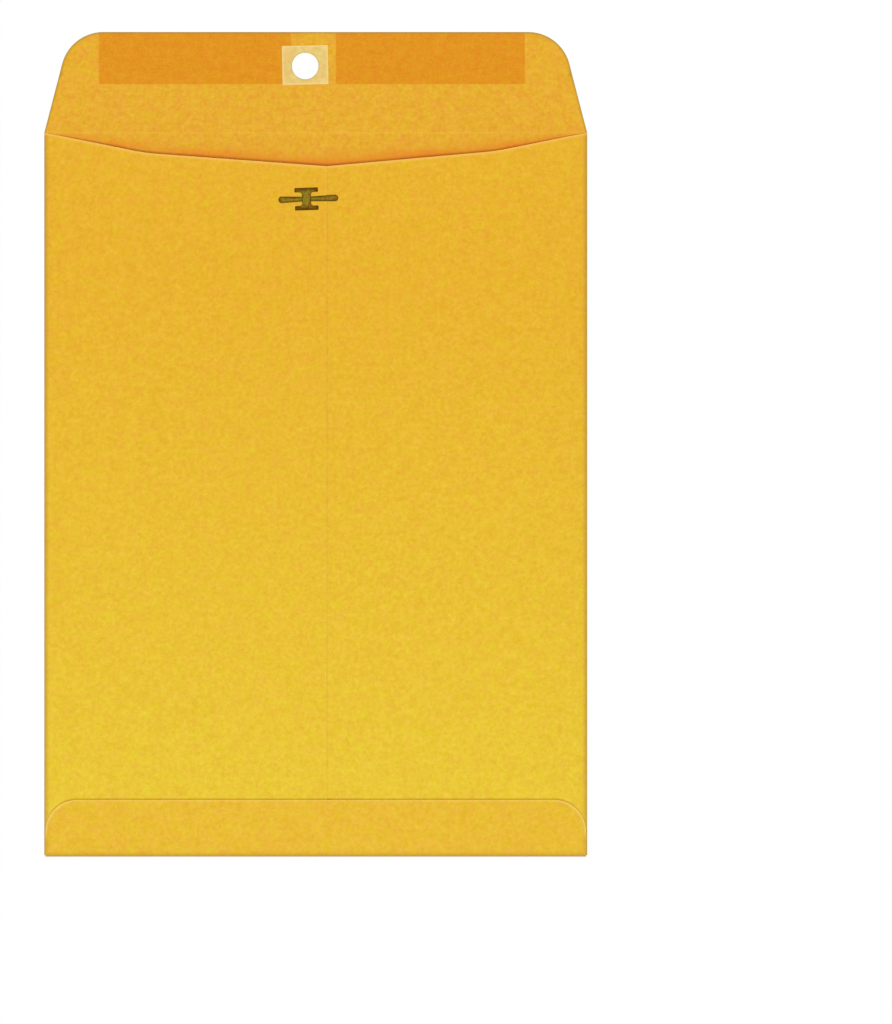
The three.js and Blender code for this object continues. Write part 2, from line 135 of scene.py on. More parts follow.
# Painted highlights along cut edges, painted shade along folds, rims, the seam, under the bottom flap
# and over the clasp, a lighter line along the crease, and the gum showing through the patch: how wide
# they are, and how strong
CUT_HIGHLIGHT_BAND = 1.5
HEM_HIGHLIGHT_BAND = 1.1
HEM_ON_STRAIGHT = 0.45  # the painted highlight on the bottom flap's edge is weaker along the straight edge than on the corners
HEM_FADE = 3  # below the corners
SEAM_BAND = 0.9
SEAM_LIGHT = 0.18
SEAM_GLEAM = 0.3  # more light, near the throat
SEAM_GLEAM_LENGTH = 40
SEAM_SHADE = 0.16
RIM_SHADE_BAND = 1.1
TUCK_SHADOW_BAND = 0.9
FOLD_SHADE_BAND = 2.1
FLAP_SIDE_SHADE = 0.5  # the bottom flap's cut sides get half as much painted shade as its fold
CREASE_BAND = 0.7
PATCH_RIM = 0.9
PATCH_CORNER = 4.5
PATCH_CORNER_LIGHT = 0.7
PATCH_HOLE_BAND = 0.45
GUM_BLUR = 0.5  # the gum's end shows through the patch, blurred over this width
PLATE_DARK_BAND = 0.4
BAR_SHADE_FADE = 2.4  # from the web outwards, where painted shade grows over the bars
PAINTED_BAR_SHADE = 0.75
PRONG_DARK_BAND = 0.85
ROOT_DARKNESS = 0.7

# Painted shade, reddened as by light bounced off the kraft, on the inner face over the throat
MOUTH_BAND = 7
LIP_BAND = 3.0
LIP_DEPTH = 4  # below the crease, from where the painted shade at the lip is full
UNDER_LIP = 30
SOFT_FALL = 1.3  # power by which this painted shade, and the painted highlight on a cut edge, fall away
GLOW_LEAN = 0.25  # how much stronger it is at the right end than in the middle

# Edges that turn by more than this look sharp
SHEET_SHARP = math.radians(40)
METAL_SHARP = math.radians(50)

# Rows and columns of the meshes
END_STEPS = np.array([0.1, 0.25, 0.45, 0.7, 1.1, 1.7, 2.6])  # finer ones, from an end of a sheet
COLUMN_STEP = 3
FRONT_ROW_STEP = 4
FLAP_ROW_STEP = 1.5
FLAP_CORNER_ROWS = 40
BOTTOM_FLAP_ROW_STEP = 1.2
GUM_COLUMN_STEP = 2
GUM_ROW_SHARE = 0.05
CREASE_ZONE = 2.2  # to each side of the crease
CREASE_ROWS = 45
THROAT_ZONE = 60  # below the crease, where a back panel's rows turn to follow the throat
FLAP_EDGE_ZONE = (-0.3, 1.3, 0.2)  # start, end and step of the rows along the bottom flap's top edge
ROWS_BESIDE_FLAP = 60
ROWS_ABOVE_FLAP = 46
UNDER_SEAM = np.array([-0.3, 0, 0.25, 0.5, 0.75, 1.0])  # columns of the right panel, from the seam
FOLD_STEPS = 16
CORNER_COLUMNS = 26
LAST_CORNER_COLUMN = 1  # short of the bottom flap's side
HOLE_SQUARE = (8.2, 7.4)  # half the width and height of the block that is meshed in rings
HOLE_COLUMN_STEP = 1
RING_SHARES = (0.35, 0.62, 0.8, 0.9, 0.96, 1.0)  # of the way from that block to the hole
STOP_CLEARANCE = 0.35
STRAIGHT_HALF = 80  # columns this near the middle run straight up onto the flap
PATCH_COLUMNS = 41
PATCH_ROWS = 35
FILLET_STEPS = 8
TOOTH_BEND_STEPS = 5
TOOTH_SHARES = (0.35, 0.7, 1.0)
PRONG_STRAIGHT_STEPS = 39
PRONG_TIP_STEPS = 16
PRONG_TIP_END = math.radians(88)  # just short of the point where the tip's outline closes
PRONG_SHARES = np.array([0.2, 0.38, 0.55, 0.72, 0.85, 0.94, 1])  # of half its width
ROOT_SIDES = 16

# Light
WORLD_LEVEL = 0.35
KEY_LEVEL = 0.65
KEY_TILT = math.radians(8)
KEY_TURN = math.radians(-12)
KEY_SOFTNESS = math.radians(20)
FLOOR_HALF = 3000
FLOOR_DROP = 0.05
FLOOR_GREY = (0.8, 0.8, 0.8, 1)
WHITE = (1, 1, 1, 1)
FLOOR_WHITENESS = 0.75  # share of the floor's picture that is white whatever falls on it

# Photograph: its size in pixels, and where the envelope lies in it
PHOTO_WIDTH = 892
PHOTO_HEIGHT = 1024
PIXELS_PER_MM = 2.3747
CENTRE_PIXEL = (315.75, 444.3)
LENS = 300
SENSOR = 36


def box_mm(node):
    low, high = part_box(node)
    return low / MM, high / MM


front_low, front_high = box_mm("front_panel")
left_high = box_mm("left_back_panel")[1]
right_low, right_high = box_mm("right_back_panel")
bottom_low, bottom_high = box_mm("bottom_flap")
flap_high = box_mm("seal_flap")[1]
patch_low, patch_high = box_mm("hole_patch")

PAPER = front_high.z
half_width = right_high.x
crease_y = front_high.y
bottom_y = bottom_low.y
flap_top_y = flap_high.y
seam_x = left_high.x
hidden_seam_x = right_low.x
ply_step = left_high.z - right_high.z
film_space = ply_step - PAPER
inner_top_z = right_high.z - PAPER
fold_radius = PAPER + FOLD_GAP / 2
plate_half = half_width - fold_radius
front_bottom_y = front_low.y - BUTT_CLEARANCE
lap_start_x = hidden_seam_x - LAP_CLIMB
lap_end_x = seam_x + LAP_RELEASE
flap_half = bottom_high.x
shoulder_x = flap_half - BOTTOM_FLAP_CORNER
shoulder_y = bottom_high.y - BOTTOM_FLAP_CORNER
fold_angles = np.linspace(-math.pi / 2, math.pi / 2, FOLD_STEPS + 1)[:-1]
corner_reach = np.linspace(shoulder_x, flap_half - LAST_CORNER_COLUMN, CORNER_COLUMNS)
patch_middle = (patch_low + patch_high) / 2
hole = patch_middle - Vector((0, PATCH_OFFSET, 0))
flap_corner_y = flap_top_y - FLAP_CORNER
flap_arc_y = flap_corner_y + FLAP_CORNER * math.sin(FLAP_SIDE_ANGLE)
flap_slant = FLAP_CORNER + (flap_corner_y - crease_y) * math.sin(FLAP_SIDE_ANGLE)
flap_corner_x = half_width - flap_slant / math.cos(FLAP_SIDE_ANGLE)

joints = {joint["name"]: joint for joint in frame["joints"]}
hinges = {side: Vector(joints[side + "_prong_bend"]["pos_m"]) / MM for side in ("left", "right")}
clasp_centre = (hinges["left"] + hinges["right"]) / 2
clasp_x_axis = (hinges["right"] - hinges["left"]).normalized()
clasp_turn = math.atan2(clasp_x_axis.y, clasp_x_axis.x)
clasp_origin = Matrix.Translation(clasp_centre - Vector((0, 0, METAL / 2)))
clasp_place = clasp_origin @ Matrix.Rotation(clasp_turn, 4, "Z")


# Shapes of the sheets


def rise_across(x):
    return 1 - np.clip(np.abs(x) / plate_half, 0, 1) ** SIDE_FULLNESS


def rise_along(y):
    return 1 - (1 - np.clip((y - front_bottom_y) / BOTTOM_RISE_LENGTH, 0, 1)) ** 3


def sway(x, y):
    """Slow undulation of the back, which fades out at the folds and round the clasp."""
    across = np.sin(x / CROSSED_WAVE[0] + CROSSED_PHASE[0])
    along = np.sin(y / CROSSED_WAVE[1] + CROSSED_PHASE[1])
    slanted = np.sin(x / SLANTED_WAVE[0] - y / SLANTED_WAVE[1] + SLANTED_PHASE)
    from_clasp = np.hypot(x - clasp_centre.x, y - clasp_centre.y)
    fade = np.clip((from_clasp - SWAY_START) / SWAY_FADE, 0, 1) ** 2
    return SWAY * (across * along + SLANTED_SHARE * slanted) * fade


def inner_ply_z(x, y):
    """Underside of the inner back ply."""
    rise = rise_across(x) * rise_along(y)
    return PAPER + FOLD_GAP + (inner_top_z - PAPER - FOLD_GAP + sway(x, y)) * rise


def lap(x):
    """0 where one back ply lies, 1 where the left panel lies on the right one."""
    climb = np.clip((x - lap_start_x) / LAP_CLIMB, 0, 1)
    release = np.clip((lap_end_x - x) / LAP_RELEASE, 0, 1)
    return np.minimum(climb, release)


def back_top_z(x, y):
    return inner_ply_z(x, y) + PAPER + ply_step * lap(x)


def throat_y(side, x):
    """Top edge of a back panel. It falls from the fold to a rounded knee, and on towards the seam."""
    inset, depth = KNEES[side]
    from_fold = np.maximum(0, half_width - side * x)
    first = depth / inset
    run = half_width - inset - side * seam_x
    second = (THROAT_DEPTH - depth) / run
    past_knee = from_fold - inset
    bend = np.clip(past_knee + KNEE_ROUNDING, 0, 2 * KNEE_ROUNDING)
    eased = bend**2 / (4 * KNEE_ROUNDING) + np.maximum(0, past_knee - KNEE_ROUNDING)
    return crease_y - first * from_fold + (first - second) * eased


def bottom_flap_edge_y(x):
    past = np.maximum(0, np.abs(x) - shoulder_x)
    return shoulder_y + np.sqrt(np.maximum(0, BOTTOM_FLAP_CORNER**2 - past**2))


def flap_half_width(y):
    """Half the width of the front panel and seal flap."""
    slanted = half_width - np.maximum(0, y - crease_y) * math.tan(FLAP_SIDE_ANGLE)
    above = np.clip(y - flap_corner_y, 0, FLAP_CORNER)
    rounded = flap_corner_x + np.sqrt(np.maximum(0, FLAP_CORNER**2 - above**2))
    flap = np.where(y > flap_arc_y, rounded, slanted)
    return np.where(y > crease_y, flap, plate_half)


def near(distance, band):
    """1 at distance 0, falling to 0 at the end of the band."""
    return np.clip(1 - np.abs(distance) / band, 0, 1)


def from_rounded(x, y, corner_x, corner_y, radius, straight):
    """Distance from an edge with rounded upper corners, given its distance where it is straight."""
    past_x = np.maximum(0, np.abs(x) - corner_x)
    past_y = np.maximum(0, y - corner_y)
    in_corner = (past_x > 0) & (past_y > 0)
    return np.where(in_corner, radius - np.hypot(past_x, past_y), straight)


# Spacing of rows and columns


def spaced(start, end, step):
    """Even coordinates from start to end, about a step apart."""
    return np.linspace(start, end, max(1, round((end - start) / step)) + 1)


def graded(start, end, step, fine_start=True):
    """Coordinates about a step apart, and finer ones next to the end and, if asked, the start."""
    low = start + END_STEPS if fine_start else np.array([start])
    high = end - END_STEPS[::-1]
    middle = spaced(low[-1], high[0], step)
    return np.unique(np.round(np.concatenate([[start], low, middle, high, [end]]), 5))


def with_stops(values, stops):
    """The values, with each stop added and whatever lies too close to it taken out."""
    kept = [v for v in values if all(abs(v - s) > STOP_CLEARANCE for s in stops)]
    return np.array(sorted(kept + list(stops)))


def with_extra(values, extra):
    return np.unique(np.round(np.concatenate([values, extra]), 3))


# Meshes


def new_piece(name, points, faces, marks, materials):
    """A mesh object from points in millimetres, with an attribute for each mark."""
    mesh = bpy.data.meshes.new(name)
    mesh.from_pydata((np.asarray(points) * MM).tolist(), [], faces)
    for material in materials:
        mesh.materials.append(material)
    rest = mesh.attributes.new("rest", "FLOAT_VECTOR", "POINT")
    rest.data.foreach_set("vector", np.asarray(points, np.float32).ravel())
    for mark, values in marks.items():
        attribute = mesh.attributes.new(mark, "FLOAT", "POINT")
        attribute.data.foreach_set("value", np.asarray(values, np.float32).ravel())
    mesh.shade_smooth()
    mesh.update()
    return new_object(name, mesh)


def new_object(name, data):
    made = bpy.data.objects.new(name, data)
    bpy.context.scene.collection.objects.link(made)
    return made


def new_sheet(name, x, y, z, marks, materials):
    """A piece whose points form a grid of rows and columns."""
    points = np.stack([x, y, z], -1).reshape(-1, 3)
    return new_piece(name, points, grid_faces(*x.shape), marks, materials)


def grid_faces(rows, columns, skip=None):
    faces = []
    for r in range(rows - 1):
        for c in range(columns - 1):
            if skip is None or not skip(r, c):
                at = r * columns + c
                faces.append((at, at + 1, at + columns + 1, at + columns))
    return faces


def apply_modifiers(piece):
    depsgraph = bpy.context.evaluated_depsgraph_get()
    shown = piece.evaluated_get(depsgraph)
    mesh = bpy.data.meshes.new_from_object(shown, preserve_all_data_layers=True, depsgraph=depsgraph)
    piece.modifiers.clear()
    piece.data = mesh


def thicken(piece, thickness):
    """Gives a skin its thickness, away from its normals. Slots: skin, other face, cut edge."""
    solidify = piece.modifiers.new("thickness", "SOLIDIFY")
    solidify.thickness = thickness * MM
    solidify.offset = -1
    solidify.use_even_offset = True
    if len(piece.data.materials) > 1:
        solidify.material_offset = 1
        solidify.material_offset_rim = 2
    apply_modifiers(piece)
    piece.data.set_sharp_from_angle(angle=SHEET_SHARP)


def placed(points, matrix):
    return np.array([matrix @ Vector(p) for p in points])


def stand_for(piece, slot, *nodes):
    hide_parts(*nodes)


# Shader nodes


class Nodes:
    """A node tree, with short calls for what the materials and the studio share."""

    def __init__(self, tree):
        self.tree = tree

    def put(self, socket, value):
        if isinstance(value, bpy.types.NodeSocket):
            self.tree.links.new(value, socket)
        else:
            socket.default_value = value

    def add(self, kind, inputs, **settings):
        """A new node with its settings, and with each named or numbered input linked or set."""
        node = self.tree.nodes.new("ShaderNode" + kind)
        for name, value in settings.items():
            setattr(node, name, value)
        for name, value in inputs.items():
            self.put(node.inputs[name], value)
        return node

    def math(self, operation, a, b):
        return self.add("Math", {0: a, 1: b}, operation=operation).outputs[0]


class Shader(Nodes):
    """A material's nodes. The mark named rest holds each point's place before anything moves."""

    def __init__(self, name):
        self.material = bpy.data.materials.new(name)
        self.material.use_nodes = True
        super().__init__(self.material.node_tree)
        self.rest = self.attribute("rest").outputs["Vector"]

    def attribute(self, name):
        return self.add("Attribute", {}, attribute_name=name)

    def mark(self, name):
        return self.attribute(name).outputs["Fac"]

    def mapped(self, scale=(1, 1, 1), turn=0.0, offset=(0, 0, 0)):
        """The rest position, scaled along each axis, turned about Z, and moved."""
        inputs = {"Vector": self.rest, "Location": offset, "Rotation": (0, 0, turn), "Scale": scale}
        return self.add("Mapping", inputs).outputs["Vector"]

    def noise(self, per_mm, detail, roughness, vector=None, distortion=0.0):
        inputs = {"Scale": per_mm, "Detail": detail, "Roughness": roughness, "Distortion": distortion}
        inputs["Vector"] = self.rest if vector is None else vector
        return self.add("TexNoise", inputs).outputs["Fac"]

    def remap(self, value, low, high, to_low=0.0, to_high=1.0):
        inputs = {"Value": value, "From Min": low, "From Max": high, "To Min": to_low, "To Max": to_high}
        return self.add("MapRange", inputs).outputs["Result"]

    def mix(self, share, a, b, blend="MIX"):
        """Two colours mixed. This node takes them at inputs 6 and 7, and gives one at output 2."""
        inputs = {0: share, 6: a, 7: b}
        return self.add("Mix", inputs, data_type="RGBA", blend_type=blend).outputs[2]

    def weighted(self, *terms):
        """The sum of several values, each times its weight."""
        total = 0.0
        for value, weight in terms:
            total = self.math("ADD", self.math("MULTIPLY", value, weight), total)
        return total

    def stain_or_painted_light(self, color, mark, strength, stain_or_painted_light):
        """The colour, turned towards a given colour where the mark is strong: painted light and shade
        for most marks, a stain for the rest.
        """
        return self.mix(self.math("MULTIPLY", self.mark(mark), strength), color, stain_or_painted_light)

    def bump(self, height, distance_mm, strength):
        inputs = {"Height": height, "Distance": distance_mm * MM, "Strength": strength}
        return self.add("Bump", inputs).outputs["Normal"]

    def finish(self, color, roughness, normal, specular, metallic=0.0):
        surface = self.tree.nodes["Principled BSDF"].inputs
        self.put(surface["Base Color"], color)
        self.put(surface["Roughness"], roughness)
        self.put(surface["Normal"], normal)
        surface["Specular IOR Level"].default_value = specular
        surface["Metallic"].default_value = metallic
        return self.material


def srgb(red, green, blue):
    """A colour as the photograph shows it, 0 to 255, made linear for a shader."""
    shares = [value / 255 for value in (red, green, blue)]
    return (*[s / 12.92 if s <= 0.04045 else ((s + 0.055) / 1.055) ** 2.4 for s in shares], 1.0)


# What a dark and a pale fibre do to the colour. Pale ones are greyer, so blue gains most.
DARK_FIBRE = (0.885, 0.85, 0.25, 1.0)
PALE_FIBRE = (1.115, 1.15, 1.75, 1.0)

# The two ends of the slow drift in hue
GREENISH = (0.965, 1.025, 0.7, 1.0)
PINKISH = (1.035, 0.975, 1.3, 1.0)


# What each mark does to the kraft: how strongly at most, and towards which colour. All but the crease's
# lighter line are painted highlights and painted shade
STAINS_AND_PAINTED_LIGHT = {
    # Painted shade, reddened, in the mouth over the throat and at the throat's edge
    "painted_mouth_shade": (0.92, srgb(234, 150, 45)),
    "painted_lip_shade": (0.9, srgb(240, 131, 40)),
    # Painted shade along the folds
    "fold": (0.75, srgb(180, 136, 56)),
    # Painted shade along the flap's edges and round the hole
    "rim": (0.75, srgb(160, 132, 60)),
    # Painted shadow under the bottom flap's edge and beside the seam
    "painted_tuck_shadow": (0.8, srgb(186, 132, 30)),
    "crease": (0.28, srgb(243, 196, 66)),
    # Painted highlight along cut edges
    "cut": (0.87, srgb(255, 197, 98)),
    # Painted highlight along the bottom flap's edge
    "painted_flap_edge_highlight": (0.85, srgb(250, 216, 116)),
}

# Along Y, from where to where the outer kraft turns to its lower tones
TONE_FALL = (70, -150)

# The three ways that the fibres lie, and how far they are drawn out along each axis
FIBRE_TURNS = (12, -28, 71)
FIBRE_SCALE = (7.0, 0.9, 3.0)


def speckled(shader, color, speckle):
    """The colour with fibres in it, from a speckle centred on 0.5."""
    light = shader.mix(shader.remap(speckle, 0.3, 0.7), DARK_FIBRE, PALE_FIBRE)
    return shader.mix(1.0, color, light, "MULTIPLY")


def drifting(shader, color, strength, per_mm, origin):
    """The colour with a slow drift in hue, from a noise with an origin of its own."""
    hue = shader.noise(per_mm, 2.0, 0.5, shader.mapped(offset=origin))
    drift = shader.mix(shader.remap(hue, 0.3, 0.7), GREENISH, PINKISH)
    return shader.mix(strength, color, drift, "MULTIPLY")


def fibres(shader):
    """Short pale and dark strokes, lying mostly along the paper's length. Centred on 0.5."""
    grains = [shader.mapped(FIBRE_SCALE, math.radians(turn)) for turn in FIBRE_TURNS]
    return shader.weighted(*[(shader.noise(1.0, 2.0, 0.6, grain), 1 / len(grains)) for grain in grains])


def kraft(name, stains_and_painted_light, mottle, tones, low_tones=None):
    """Golden kraft paper: cloudy between two tones, with fibres, and given painted light and shade, and
    the crease's line, where it is marked.

    The mottle is how far its hue drifts. The low tones, if any, take over towards the bottom.
    """
    shader = Shader(name)
    clouds = shader.noise(0.2, 3.0, 0.62)
    flecks = shader.noise(0.55, 2.0, 0.6)
    grain = shader.noise(1.5, 3.0, 0.75)
    strokes = fibres(shader)
    tint = shader.remap(shader.weighted((clouds, 0.62), (flecks, 0.38)), 0.36, 0.64)
    color = shader.mix(tint, *tones)
    if low_tones:
        along = shader.add("SeparateXYZ", {0: shader.rest}).outputs["Y"]
        fall = shader.remap(along, *TONE_FALL)
        color = shader.mix(fall, color, shader.mix(tint, *low_tones))
    color = drifting(shader, color, mottle, 0.24, (31, 17, 5))
    color = speckled(shader, color, shader.weighted((grain, 0.36), (strokes, 0.36), (flecks, 0.28)))
    # Painted light and shade, and the crease's lighter line, one for each mark
    for mark in stains_and_painted_light:
        color = shader.stain_or_painted_light(color, mark, *STAINS_AND_PAINTED_LIGHT[mark])
    normal = shader.bump(shader.weighted((strokes, 0.7), (grain, 0.5)), 0.035, 0.55)
    roughness = shader.remap(strokes, 0.4, 0.6, 0.92, 0.8)
    return shader.finish(color, roughness, normal, specular=0.1)


def cut_edge_paper():
    """The die-cut edge of the sheet, where loose fibres make it paler."""
    shader = Shader("kraft_cut_edge")
    strokes = shader.noise(9.0, 3.0, 0.7)
    color = shader.mix(strokes, srgb(232, 178, 74), srgb(250, 214, 128))
    return shader.finish(color, 0.95, shader.bump(strokes, 0.05, 0.8), specular=0.1)


def gum_film():
    """Dry gum: a darker, slightly glossy coat with faint roller streaks and the kraft's clouds."""
    shader = Shader("dry_gum")
    clouds = shader.noise(0.3, 4.0, 0.7)
    streaks = shader.noise(1.0, 3.0, 0.6, shader.mapped((0.15, 2.4, 1.0)))
    grain = shader.noise(1.2, 3.0, 0.7)
    waves = shader.noise(0.7, 2.0, 0.5)
    color = shader.mix(shader.remap(clouds, 0.36, 0.64), srgb(225, 141, 26), srgb(227, 154, 26))
    color = drifting(shader, color, 0.6, 0.26, (13, 41, 3))
    speckle = shader.weighted((streaks, 0.15), (grain, 0.4), (fibres(shader), 0.45))
    color = speckled(shader, color, speckle)
    # Painted shade along the flap's top edge
    color = shader.stain_or_painted_light(color, "rim", 0.75, srgb(168, 136, 56))
    normal = shader.bump(shader.weighted((waves, 1.0), (streaks, 0.4)), 0.03, 0.5)
    roughness = shader.remap(streaks, 0.3, 0.7, 0.58, 0.44)
    return shader.finish(color, roughness, normal, specular=0.04)


def patch_paper():
    """Pale reinforcement paper, pinkish in places and greenish in others, with a painted highlight along
    its outline and painted shade round the hole.
    """
    shader = Shader("patch_paper")
    clouds = shader.noise(0.5, 3.0, 0.65)
    hue = shader.noise(0.5, 3.0, 0.65, shader.mapped(offset=(7, 29, 11)))
    strokes = fibres(shader)
    color = shader.mix(shader.remap(clouds, 0.34, 0.66), srgb(228, 190, 102), srgb(238, 211, 131))
    color = shader.mix(shader.remap(hue, 0.52, 0.7, 0, 0.8), color, srgb(240, 186, 118))
    color = shader.mix(shader.remap(hue, 0.48, 0.3, 0, 0.7), color, srgb(214, 204, 112))
    color = shader.stain_or_painted_light(color, "over_gum", 0.4, srgb(234, 190, 108))
    color = shader.mix(1.0, color, shader.remap(strokes, 0.4, 0.6, 0.95, 1.04), "MULTIPLY")
    # Painted highlight along the outline and at the corners, and painted shade round the hole
    color = shader.stain_or_painted_light(color, "cut", 0.8, srgb(246, 220, 146))
    color = shader.stain_or_painted_light(color, "rim", 0.7, srgb(188, 162, 92))
    return shader.finish(color, 0.7, shader.bump(strokes, 0.03, 0.6), specular=0.15)


def dried_glue():
    shader = Shader("dried_glue")
    ripples = shader.noise(0.8, 2.0, 0.5, shader.mapped((2.5, 0.4, 1.0)))
    color = shader.mix(ripples, srgb(206, 188, 130), srgb(228, 214, 164))
    roughness = shader.remap(ripples, 0.3, 0.7, 0.35, 0.6)
    return shader.finish(color, roughness, shader.bump(ripples, 0.05, 1.0), specular=0.3)


def clasp_brass():
    """Dull stamped brass: brushed along X, cloudy with tarnish, darker along its sheared edges, and with
    painted shade over the bars.
    """
    shader = Shader("clasp_brass")
    brushed = shader.noise(1.0, 3.0, 0.6, shader.mapped((0.8, 14.0, 4.0)))
    tarnish = shader.noise(1.1, 4.0, 0.65, distortion=0.4)
    hue = shader.noise(0.42, 2.0, 0.6, shader.mapped(offset=(19, 3, 8)))
    color = shader.mix(shader.remap(tarnish, 0.35, 0.65), srgb(138, 119, 36), srgb(117, 97, 23))
    color = shader.mix(shader.remap(hue, 0.52, 0.68, 0, 0.75), color, srgb(124, 76, 18))
    color = shader.mix(shader.remap(hue, 0.48, 0.32, 0, 0.7), color, srgb(106, 112, 26))
    # Darker along the edges, and painted shade over the bars, where the cut mark is
    color = shader.stain_or_painted_light(color, "cut", 0.95, srgb(76, 41, 5))
    normal = shader.bump(brushed, 0.012, 0.6)
    roughness = shader.remap(tarnish, 0.3, 0.7, 0.68, 0.82)
    return shader.finish(color, roughness, normal, specular=0.5, metallic=1.0)


KRAFT_OUTER = kraft(
    "kraft_outer",
    ("fold", "painted_tuck_shadow", "cut"),
    mottle=0.6,
    tones=(srgb(233, 173, 46), srgb(234, 185, 46)),
    low_tones=(srgb(233, 193, 55), srgb(235, 205, 55)),
)
KRAFT_FLAP = kraft(
    "kraft_bottom_flap",
    ("fold", "painted_flap_edge_highlight"),
    mottle=0.8,
    tones=(srgb(233, 182, 53), srgb(234, 193, 53)),
)
KRAFT_FACE = kraft(
    "kraft_address_side",
    ("fold", "crease"),
    mottle=0.4,
    tones=(srgb(233, 177, 38), srgb(234, 189, 54)),
)
KRAFT_INNER = kraft(
    "kraft_inner",
    ("painted_mouth_shade", "painted_lip_shade", "rim", "crease"),
    mottle=0.7,
    tones=(srgb(232, 164, 49), srgb(233, 182, 49)),
)
CUT_EDGE = cut_edge_paper()
GUM = gum_film()
PATCH = patch_paper()
GLUE = dried_glue()
BRASS = clasp_brass()


# Paper pieces


def front_rows():
    """Rows up the front panel and flap, close at the crease and by equal angles up the corners."""
    lower = spaced(front_bottom_y, crease_y - CREASE_ZONE, FRONT_ROW_STEP)
    crease = np.linspace(crease_y - CREASE_ZONE, crease_y + CREASE_ZONE, CREASE_ROWS)
    upper = spaced(crease_y + CREASE_ZONE, flap_arc_y, FLAP_ROW_STEP)
    angles = np.linspace(FLAP_SIDE_ANGLE, math.pi / 2, FLAP_CORNER_ROWS)
    corners = flap_corner_y + FLAP_CORNER * np.sin(angles)
    rows = np.unique(np.round(np.concatenate([lower, crease, upper, corners]), 5))
    return with_stops(rows, [hole.y - HOLE_SQUARE[1], hole.y + HOLE_SQUARE[1]])


def front_columns():
    left = hole.x - HOLE_SQUARE[0]
    right = hole.x + HOLE_SQUARE[0]
    beside = [x for x in graded(-half_width, half_width, COLUMN_STEP) if not left < x < right]
    near_hole = np.arange(left, right + HOLE_COLUMN_STEP / 10, HOLE_COLUMN_STEP)
    return with_stops(sorted(beside + list(near_hole)), [left, right])


def nearest_span(values, middle, reach):
    """Indices of the values nearest to the two ends of a span round the middle."""
    return [int(np.argmin(abs(values - place))) for place in (middle - reach, middle + reach)]


def from_hole(x, y):
    return np.hypot(x - hole.x, y - hole.y) - HOLE_DIAMETER / 2


def front_marks(x, y):
    from_side = (half_width - np.abs(x)) * math.cos(FLAP_SIDE_ANGLE)
    from_side = from_side - (y - crease_y) * math.sin(FLAP_SIDE_ANGLE)
    from_top = from_rounded(x, y, flap_corner_x, flap_corner_y, FLAP_CORNER, flap_top_y - y)
    from_edge = np.minimum(from_top, from_side)
    on_flap = y > crease_y
    return {
        # Painted shade along the flap's edges and round the hole
        "rim": np.where(on_flap, near(np.minimum(from_edge, from_hole(x, y)), RIM_SHADE_BAND), 0),
        # Painted shade along the side folds
        "fold": np.where(on_flap, 0, near(half_width - np.abs(x), FOLD_SHADE_BAND)),
        "crease": near(y - crease_y, CREASE_BAND),
        # Painted shade, reddened, under and over the throat's edge
        "painted_mouth_shade": glow(x, y, MOUTH_BAND, THROAT_DEPTH, 2),
        "painted_lip_shade": glow(x, y, LIP_BAND, LIP_DEPTH, 1),
    }


def build_front_and_flap():
    """The front panel and seal flap, one flat sheet with the crease between them. Its skin is the inner
    face.
    """
    rows = front_rows()
    columns = front_columns()
    y = np.repeat(rows[:, None], len(columns), 1)
    half = flap_half_width(y)
    outer = np.clip((np.abs(columns) - STRAIGHT_HALF) / (half_width - STRAIGHT_HALF), 0, 1)
    straight = np.minimum(np.abs(columns), STRAIGHT_HALF)
    x = np.sign(columns) * (straight + outer * (half - STRAIGHT_HALF))
    points = np.stack([x, y, np.full_like(x, PAPER)], -1).reshape(-1, 3)

    column_span = nearest_span(columns, hole.x, HOLE_SQUARE[0])
    row_span = nearest_span(rows, hole.y, HOLE_SQUARE[1])

    def in_square(r, c):
        return row_span[0] <= r < row_span[1] and column_span[0] <= c < column_span[1]

    faces = grid_faces(len(rows), len(columns), in_square)
    points, faces = add_hole(points, faces, square_loop(row_span, column_span, len(columns)))
    used = sorted({i for face in faces for i in face})
    order = {old: new for new, old in enumerate(used)}
    points = points[used]
    faces = [tuple(order[i] for i in face) for face in faces]

    marks = front_marks(points[:, 0], points[:, 1])
    piece = new_piece("front_and_seal_flap", points, faces, marks, [KRAFT_INNER, KRAFT_FACE, CUT_EDGE])
    thicken(piece, PAPER)
    stand_for(piece, "kraft_paper", "front_panel", "seal_flap")
    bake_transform(piece)


def glow(x, y, band, full_depth, power):
    """Painted shade, reddened as where light only arrives off the kraft: 1 under the throat's edge,
    falling away to both sides.

    It is full where the throat is at least the full depth below the crease, and leans to the right.
    """
    edge = np.where(x < seam_x, throat_y(-1, x), throat_y(1, x))
    depth = np.clip((crease_y - edge) / full_depth, 0, 1) ** power
    above = near(y - edge, band) ** SOFT_FALL
    lean = 1 + GLOW_LEAN * x / half_width
    shade = np.where(y < edge, near(y - edge, UNDER_LIP), above) * depth * lean
    return np.clip(shade, 0, 1) * (y < crease_y)


def square_loop(row_span, column_span, columns):
    """Indices round the edge of a block of grid cells, anticlockwise from its lower left corner."""
    (r0, r1), (c0, c1) = row_span, column_span
    bottom = [r0 * columns + c for c in range(c0, c1)]
    right = [r * columns + c1 for r in range(r0, r1)]
    top = [r1 * columns + c for c in range(c1, c0, -1)]
    left = [r * columns + c0 for r in range(r1, r0, -1)]
    return bottom + right + top + left


